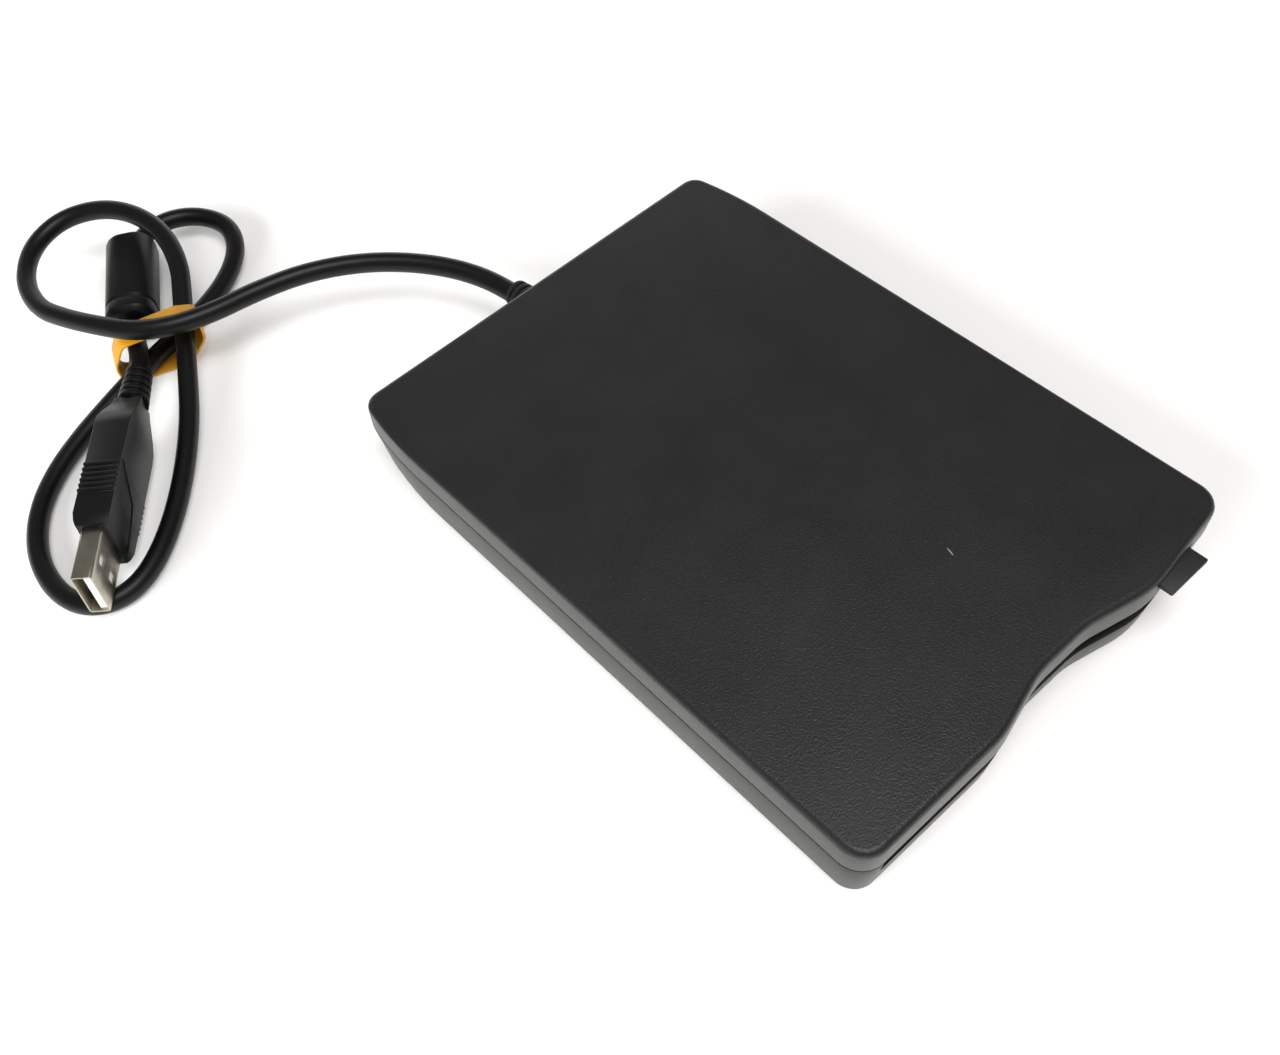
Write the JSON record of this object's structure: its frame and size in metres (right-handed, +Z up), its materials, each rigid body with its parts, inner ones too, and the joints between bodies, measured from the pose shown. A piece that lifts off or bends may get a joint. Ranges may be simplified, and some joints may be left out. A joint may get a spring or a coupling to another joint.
{
  "type": "external floppy disk drive",
  "caption": "Slim dark grey external 3.5 inch floppy disk drive with its mechanism, eject button and banded USB cord with ferrite and plug.",
  "frame": {"origin": "on the table under the middle of the drive's case, cord left out", "axes": "+Z up, the disk slot faces -Y, the cord leaves the rear at +Y"},
  "size_m": [0.1769, 0.2545, 0.0191],
  "materials": {
    "cover_top": "fine matte texture",
    "cover_base": "fine matte texture",
    "button_plastic": "matte",
    "door_plastic": "matte",
    "soft_rubber": "matte",
    "cord_rubber": "matte",
    "band_rubber": "satin",
    "sheet_steel": "plated",
    "rod_steel": "ground",
    "screw_steel": "plated",
    "spring_steel": "bright",
    "connector_metal": "nickel plated",
    "hub_brass": "satin",
    "contact_gold": "gold plated",
    "alloy": "cast",
    "board_green": "solder mask",
    "chip_black": "matte",
    "magnet_grey": "matte",
    "coil_copper": "enamelled wire",
    "flex_amber": "glossy",
    "head_ceramic": "polished",
    "nylon_white": "matte",
    "crystal_metal": "bright"
  },
  "bodies": {
    "case": {"bottom_cover": "cover_base", "capacitors": "chip_black", "case_screws": "screw_steel", "chassis": "sheet_steel", "chassis_screws": "screw_steel", "control_chips": "chip_black", "cord_band": "band_rubber", "cord_gland": "soft_rubber", "cord_header": "nylon_white", "cord_wires": "cord_rubber", "crystal": "crystal_metal", "disk_present_switch": "chip_black", "door_spring": "spring_steel", "ferrite_core": "magnet_grey", "ferrite_cover": "cord_rubber", "flex_connector": "nylon_white", "guide_rods": "rod_steel", "head_flex": "flex_amber", "high_density_switch": "chip_black", "lever_clip": "spring_steel", "lever_spring": "spring_steel", "main_board": "board_green", "motor_bracket": "sheet_steel", "plug_boot": "cord_rubber", "plug_contacts": "contact_gold", "plug_overmould": "cord_rubber", "plug_shell": "connector_metal", "plug_tongue": "nylon_white", "rear_board": "board_green", "rear_board_screws": "screw_steel", "rear_chips": "chip_black", "ribbon_cable": "flex_amber", "rubber_feet": "soft_rubber", "spindle_bearing": "hub_brass", "stator_coils": "coil_copper", "stepper_motor": "sheet_steel", "top_cover": "cover_top", "top_shield": "sheet_steel", "track_sensor": "chip_black", "usb_cord": "cord_rubber", "write_protect_switch": "chip_black"},
    "slider": {"slider_plate": "sheet_steel", "eject_button": "button_plastic", "eject_springs": "spring_steel"},
    "holder": {"disk_holder": "sheet_steel"},
    "lever": {"trigger_lever": "nylon_white"},
    "door": {"door_flap": "door_plastic"},
    "carriage": {"head_carriage": "alloy", "lower_head": "head_ceramic"},
    "upper_arm": {"upper_head_arm": "alloy", "upper_head": "head_ceramic"},
    "screw": {"lead_screw": "rod_steel", "stepper_rotor": "magnet_grey"},
    "spindle": {"spindle_rotor": "sheet_steel", "rotor_magnet": "magnet_grey", "hub_plate": "sheet_steel"},
    "drive_pin_body": {"drive_pin": "nylon_white"},
    "write_protect_body": {"write_protect_plunger": "nylon_white"},
    "high_density_body": {"high_density_plunger": "nylon_white"},
    "disk_present_body": {"disk_present_plunger": "nylon_white"}
  },
  "joints": [
    {"name": "eject_slide", "type": "slide", "parent": "case", "child": "slider", "axis": [0, -1, 0], "range_m": [0, 0.0045], "deforming": ["eject_springs"]},
    {"name": "holder_drop", "type": "slide", "parent": "case", "child": "holder", "axis": [0, 0, -1], "range_m": [0, 0.0026]},
    {"name": "trigger_turn", "type": "hinge", "parent": "case", "child": "lever", "pos_m": [0.036, 0.036, 0.00815], "axis": [0, 0, 1], "range_deg": [-31, 0]},
    {"name": "arm_lower", "type": "hinge", "parent": "carriage", "child": "upper_arm", "pos_m": [0, 0.049, 0.012], "axis": [1, 0, 0], "range_deg": [0, 9.6]},
    {"name": "screw_turn", "type": "hinge", "parent": "case", "child": "screw", "pos_m": [0, 0.045, 0.0086], "axis": [0, 1, 0], "range_deg": [0, 1778]},
    {"name": "carriage_slide", "type": "slide", "parent": "case", "child": "carriage", "axis": [0, -1, 0], "range_m": [0, 0.0148]},
    {"name": "spindle_spin", "type": "hinge", "parent": "case", "child": "spindle", "pos_m": [0, -0.016, 0.0045], "axis": [0, 0, 1], "continuous": true},
    {"name": "drive_pin_press", "type": "slide", "parent": "spindle", "child": "drive_pin_body", "axis": [0, 0, -1], "range_m": [0, 0.0006], "stiffness_N_per_m": 40, "springref_m": -0.0005},
    {"name": "door_swing", "type": "hinge", "parent": "case", "child": "door", "pos_m": [0, -0.0635, 0.0126], "axis": [1, 0, 0], "range_deg": [0, 85], "stiffness_Nm_per_rad": 0.004, "springref_deg": -17.19},
    {"name": "write_protect_press", "type": "slide", "parent": "case", "child": "write_protect_body", "axis": [0, 0, -1], "range_m": [0, 0.001], "stiffness_N_per_m": 60, "springref_m": -0.0005},
    {"name": "high_density_press", "type": "slide", "parent": "case", "child": "high_density_body", "axis": [0, 0, -1], "range_m": [0, 0.001], "stiffness_N_per_m": 60, "springref_m": -0.0005},
    {"name": "disk_present_press", "type": "slide", "parent": "case", "child": "disk_present_body", "axis": [0, 0, -1], "range_m": [0, 0.001], "stiffness_N_per_m": 60, "springref_m": -0.0005}
  ],
  "couplings": [
    {"joint": "holder_drop", "follows": "eject_slide", "ratio": 0.5777},
    {"joint": "trigger_turn", "follows": "eject_slide", "rad_per_m": -120.2},
    {"joint": "arm_lower", "follows": "eject_slide", "rad_per_m": 37.2},
    {"joint": "screw_turn", "follows": "carriage_slide", "rad_per_m": 2094.4}
  ]
}
